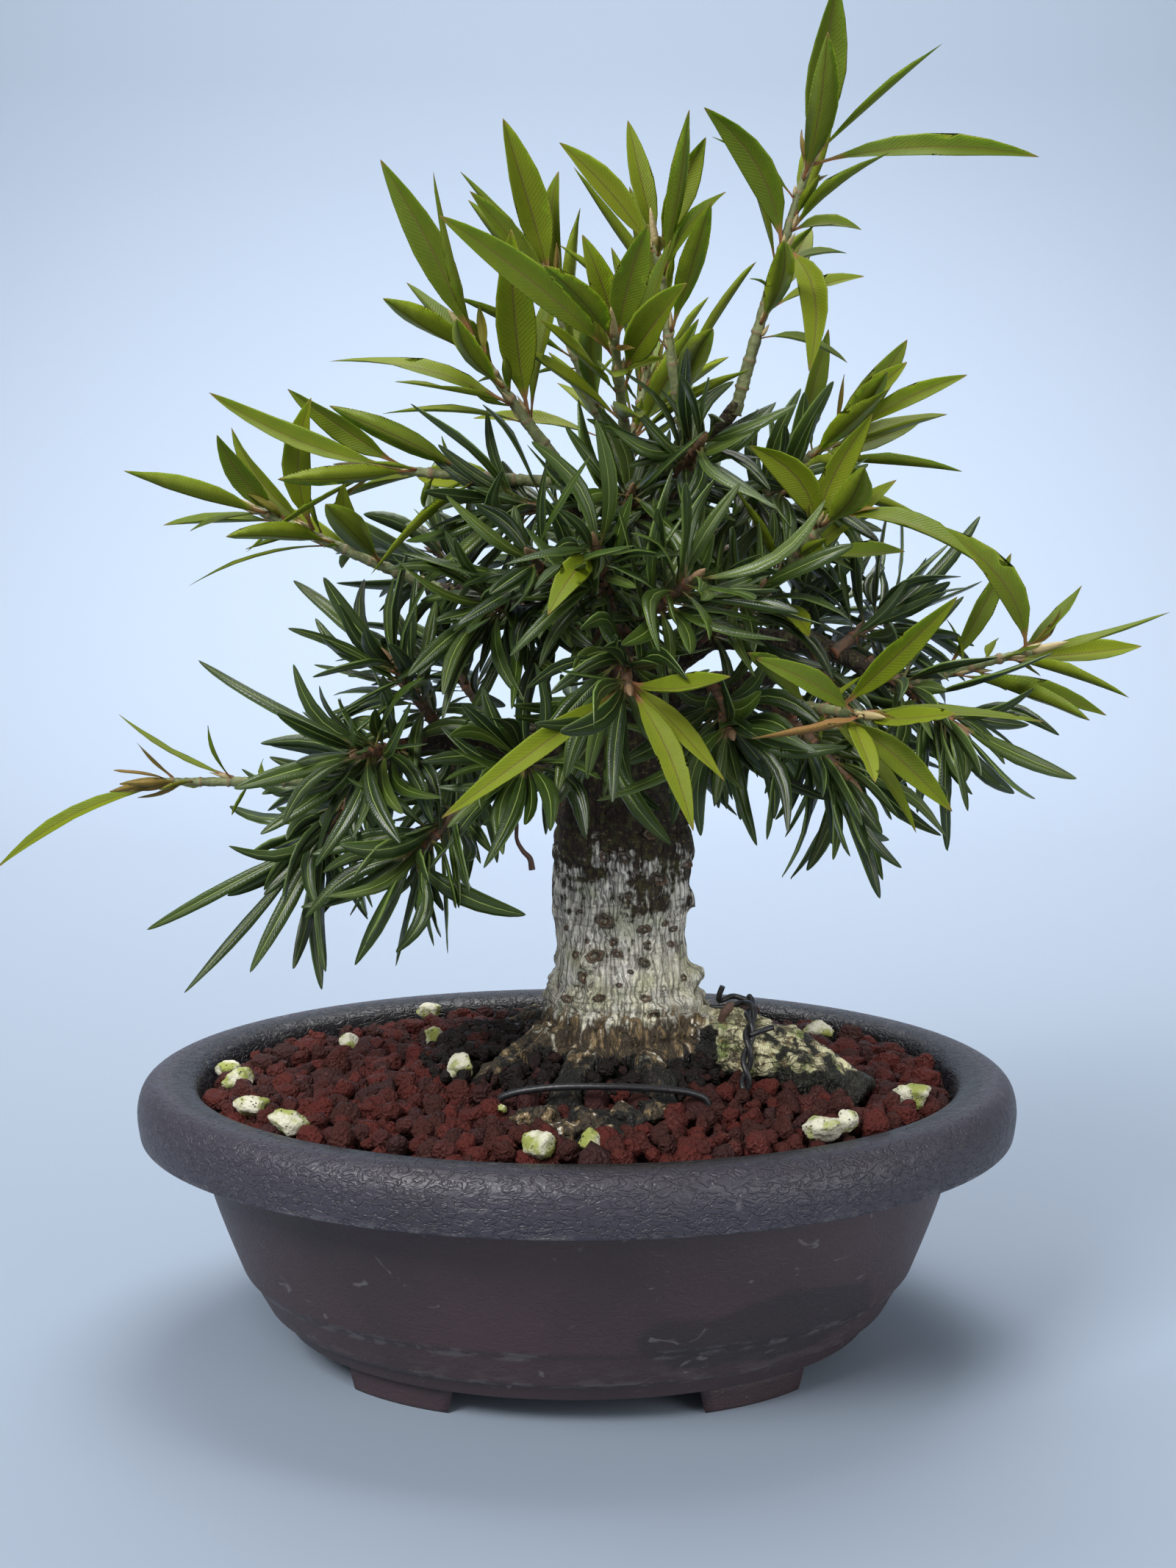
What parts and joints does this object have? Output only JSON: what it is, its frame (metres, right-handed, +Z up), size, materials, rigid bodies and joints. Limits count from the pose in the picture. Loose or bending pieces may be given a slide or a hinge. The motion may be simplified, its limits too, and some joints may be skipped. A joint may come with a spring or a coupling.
{
  "type": "willow leaf ficus bonsai",
  "caption": "Small willow leaf ficus bonsai with a stout trunk, surface roots and a dense crown of narrow leaves, in an oval plastic training pot of red lava grit.",
  "frame": {"origin": "middle of the whole plant and pot on the surface that the pot's feet stand on", "axes": "+Z up along the trunk, +X to the right along the pot's length seen from the front, -Y to the front"},
  "size_m": [0.196, 0.137, 0.231],
  "materials": {
    "pot_plastic": "satin, moulded leather-like grain",
    "drain_mesh": "matte",
    "lava_grit": "rough, porous, slightly damp",
    "bark": "rough bark with fine fissures",
    "tie_wire": "satin black",
    "pumice": "rough, algae-stained",
    "mature_leaf": "waxy, glossy",
    "young_leaf": "waxy, satin"
  },
  "bodies": {
    "root": {"pot": "pot_plastic", "drain_mesh_left": "drain_mesh", "drain_mesh_right": "drain_mesh", "soil_grit": "lava_grit", "trunk_roots_branches": "bark", "tie_wire_front": "tie_wire", "tie_wire_twisted": "tie_wire", "pumice_1": "pumice", "pumice_2": "pumice", "pumice_3": "pumice", "pumice_4": "pumice", "pumice_5": "pumice", "pumice_6": "pumice", "pumice_7": "pumice", "shoot_top": "young_leaf", "shoot_centre_front": "young_leaf", "shoot_left_top": "young_leaf", "shoot_left_centre": "young_leaf", "shoot_centre_top": "young_leaf", "shoot_left_mid": "young_leaf", "shoot_left_upper": "young_leaf", "shoot_left_low": "young_leaf", "shoot_right_upper": "young_leaf", "shoot_right_low": "young_leaf", "shoot_right_front": "young_leaf", "shoot_right_fold": "young_leaf", "shoot_back_top": "young_leaf", "leaves_left_low_tip": "mature_leaf", "leaves_left_low_front": "mature_leaf", "leaves_left_low_top": "mature_leaf", "leaves_left_low_under": "mature_leaf", "leaves_left_front_inner": "mature_leaf", "leaves_left_back_tip": "mature_leaf", "leaves_left_back_low": "mature_leaf", "leaves_left_back_top": "mature_leaf", "leaves_right_low_tip": "mature_leaf", "leaves_right_low_top": "mature_leaf", "leaves_right_low_under": "mature_leaf", "leaves_right_front_tip": "mature_leaf", "leaves_right_front_inner": "mature_leaf", "leaves_right_back_tip": "mature_leaf", "leaves_right_back_under": "mature_leaf", "leaves_right_back_top": "mature_leaf", "leaves_front_low": "mature_leaf", "leaves_front_under": "mature_leaf", "leaves_front_mid": "mature_leaf", "leaves_front_right": "mature_leaf", "leaves_front_left": "mature_leaf", "leaves_left_mid_front": "mature_leaf", "leaves_left_mid_back": "mature_leaf", "leaves_right_mid_front": "mature_leaf", "leaves_right_high": "mature_leaf", "leaves_right_high_back": "mature_leaf", "leaves_centre_high": "mature_leaf", "leaves_left_high": "mature_leaf", "leaves_centre_front": "mature_leaf", "leaves_back_low": "mature_leaf", "leaves_back_low_right": "mature_leaf", "leaves_back_mid": "mature_leaf", "leaves_back_mid_right": "mature_leaf"}
  },
  "joints": []
}
